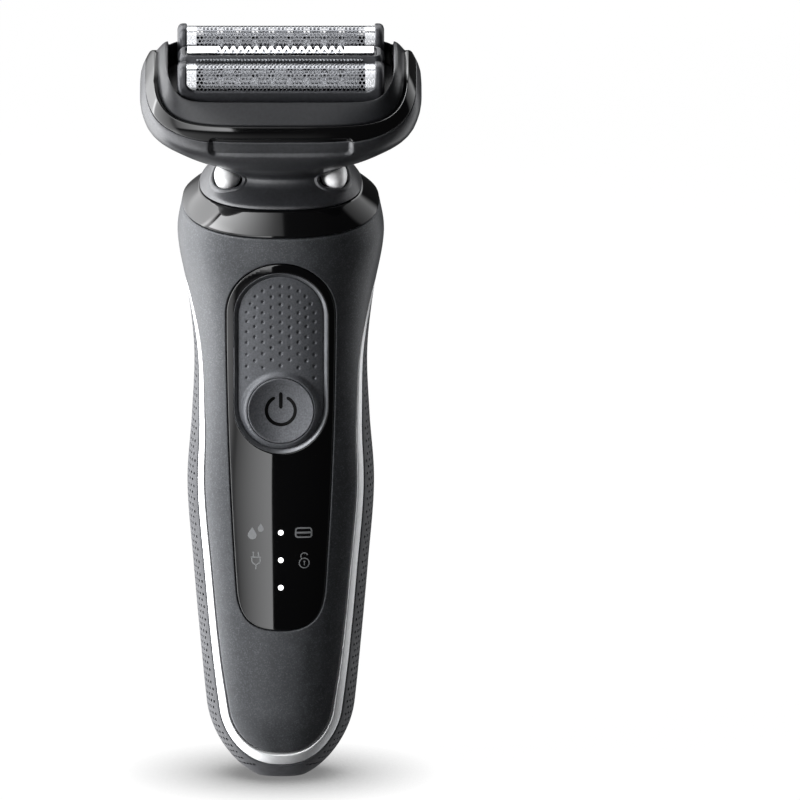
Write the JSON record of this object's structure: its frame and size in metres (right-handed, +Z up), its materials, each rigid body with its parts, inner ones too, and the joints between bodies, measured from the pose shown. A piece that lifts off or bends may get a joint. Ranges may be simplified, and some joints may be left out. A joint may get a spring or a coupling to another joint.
{
  "type": "foil shaver",
  "caption": "Handheld electric foil shaver: rounded grip handle with power button and status panel, tilted head with two sprung foils and a centre trimmer in a lift-off cassette.",
  "frame": {"origin": "centre of the flat charging face at the bottom of the handle", "axes": "+Z up along the handle towards the head, -Y out of the display panel (front), +X to the right when seen from the front"},
  "size_m": [0.0606, 0.0411, 0.1664],
  "materials": {
    "housing_paint": "dark grey satin paint with a fine metallic fleck",
    "gloss_black": "polished black",
    "satin_dark": "satin dark grey",
    "grip_rubber": "matt black rubber with fine pits",
    "pad_plastic": "soft-touch dark grey with small dimples",
    "satin_silver": "satin silver",
    "button_silver": "pearl silver",
    "steel": "bright steel",
    "foil_steel": "polished perforated steel",
    "dark_plastic": "moulded",
    "white_lens": "lit white",
    "board": "green solder mask",
    "cell_sleeve": "shrink sleeve",
    "motor_steel": "drawn can",
    "gold_contact": "plated contact",
    "acetal": "moulded acetal",
    "silicone": "moulded silicone"
  },
  "bodies": {
    "handle": {"front_housing": "housing_paint", "rear_grip": "grip_rubber", "trim_band": "satin_silver", "neck_ring": "gloss_black", "display_panel": "gloss_black", "thumb_pad": "pad_plastic", "button_seal": "silicone", "indicator_lens_top": "white_lens", "indicator_lens_middle": "white_lens", "indicator_lens_bottom": "white_lens", "charging_socket": "dark_plastic", "charging_pin_left": "gold_contact", "charging_pin_right": "gold_contact", "socket_seal": "silicone", "inner_chassis": "dark_plastic", "battery_cell": "cell_sleeve", "battery_tab": "steel", "circuit_board": "board", "tact_switch": "steel", "motor_can": "motor_steel", "neck_seal": "silicone", "head_base": "satin_dark", "head_deck": "dark_plastic", "bridge_mount": "dark_plastic", "bridge_arm_left": "acetal", "bridge_arm_right": "acetal", "release_spring_left": "steel", "release_spring_right": "steel", "bridge_screw_front": "steel", "bridge_screw_rear": "steel"},
    "power_button": {"power_button": "pad_plastic"},
    "release_button_left": {"release_button_left": "button_silver"},
    "release_button_right": {"release_button_right": "button_silver"},
    "motor_rotor": {"motor_shaft": "steel", "eccentric_cam": "acetal"},
    "drive_bridge": {"drive_bridge": "acetal", "drive_pin_front": "steel", "drive_pin_middle": "steel", "drive_pin_rear": "steel", "drive_seal": "silicone"},
    "cassette": {"cassette_shell": "gloss_black", "cassette_bezel": "satin_dark", "cassette_tray": "dark_plastic", "front_spring_left": "steel", "front_spring_right": "steel", "rear_spring_left": "steel", "rear_spring_right": "steel", "trimmer_spring_left": "steel", "trimmer_spring_right": "steel"},
    "front_foil_unit": {"front_foil": "foil_steel", "front_foil_holder": "satin_dark"},
    "front_cutter": {"front_cutter": "steel"},
    "rear_foil_unit": {"rear_foil": "foil_steel", "rear_foil_holder": "satin_dark"},
    "rear_cutter": {"rear_cutter": "steel"},
    "trimmer_unit": {"trimmer_holder": "satin_dark", "trimmer_comb": "satin_silver"},
    "trimmer_blade": {"trimmer_blade": "steel"}
  },
  "joints": [
    {"name": "power_button_press", "type": "slide", "parent": "handle", "child": "power_button", "axis": [0, 1, 0], "range_m": [0, 0.0006], "stiffness_N_per_m": 600, "springref_m": -0.0005},
    {"name": "release_left_press", "type": "slide", "parent": "handle", "child": "release_button_left", "axis": [1, 0, 0], "range_m": [0, 0.0013], "stiffness_N_per_m": 500, "springref_m": -0.001, "deforming": ["release_spring_left"]},
    {"name": "release_right_press", "type": "slide", "parent": "handle", "child": "release_button_right", "axis": [-1, 0, 0], "range_m": [0, 0.0013], "stiffness_N_per_m": 500, "springref_m": -0.001, "deforming": ["release_spring_right"]},
    {"name": "motor_spin", "type": "hinge", "parent": "handle", "child": "motor_rotor", "pos_m": [0, 0.0016, 0.118], "axis": [0, 0, 1], "continuous": true},
    {"name": "bridge_stroke", "type": "slide", "parent": "handle", "child": "drive_bridge", "axis": [1, 0, 0], "range_m": [-0.0012, 0.0012], "stiffness_N_per_m": 200},
    {"name": "cassette_lift", "type": "slide", "parent": "handle", "child": "cassette", "axis": [0, -0.3256, 0.9455], "range_m": [0, 0.015], "stiffness_N_per_m": 20, "springref_m": -0.02},
    {"name": "front_foil_float", "type": "slide", "parent": "cassette", "child": "front_foil_unit", "axis": [0, -0.3256, 0.9455], "range_m": [-0.002, 0], "stiffness_N_per_m": 150, "springref_m": 0.002, "deforming": ["front_spring_left", "front_spring_right"]},
    {"name": "rear_foil_float", "type": "slide", "parent": "cassette", "child": "rear_foil_unit", "axis": [0, -0.3256, 0.9455], "range_m": [-0.002, 0], "stiffness_N_per_m": 150, "springref_m": 0.002, "deforming": ["rear_spring_left", "rear_spring_right"]},
    {"name": "trimmer_float", "type": "slide", "parent": "cassette", "child": "trimmer_unit", "axis": [0, -0.3256, 0.9455], "range_m": [-0.0015, 0], "stiffness_N_per_m": 150, "springref_m": 0.002, "deforming": ["trimmer_spring_left", "trimmer_spring_right"]},
    {"name": "front_cutter_stroke", "type": "slide", "parent": "front_foil_unit", "child": "front_cutter", "axis": [1, 0, 0], "range_m": [-0.0012, 0.0012]},
    {"name": "rear_cutter_stroke", "type": "slide", "parent": "rear_foil_unit", "child": "rear_cutter", "axis": [1, 0, 0], "range_m": [-0.0012, 0.0012]},
    {"name": "trimmer_blade_stroke", "type": "slide", "parent": "trimmer_unit", "child": "trimmer_blade", "axis": [1, 0, 0], "range_m": [-0.0012, 0.0012]}
  ],
  "couplings": [
    {"joint": "front_cutter_stroke", "follows": "bridge_stroke", "ratio": 1},
    {"joint": "rear_cutter_stroke", "follows": "bridge_stroke", "ratio": 1},
    {"joint": "trimmer_blade_stroke", "follows": "bridge_stroke", "ratio": 1}
  ]
}
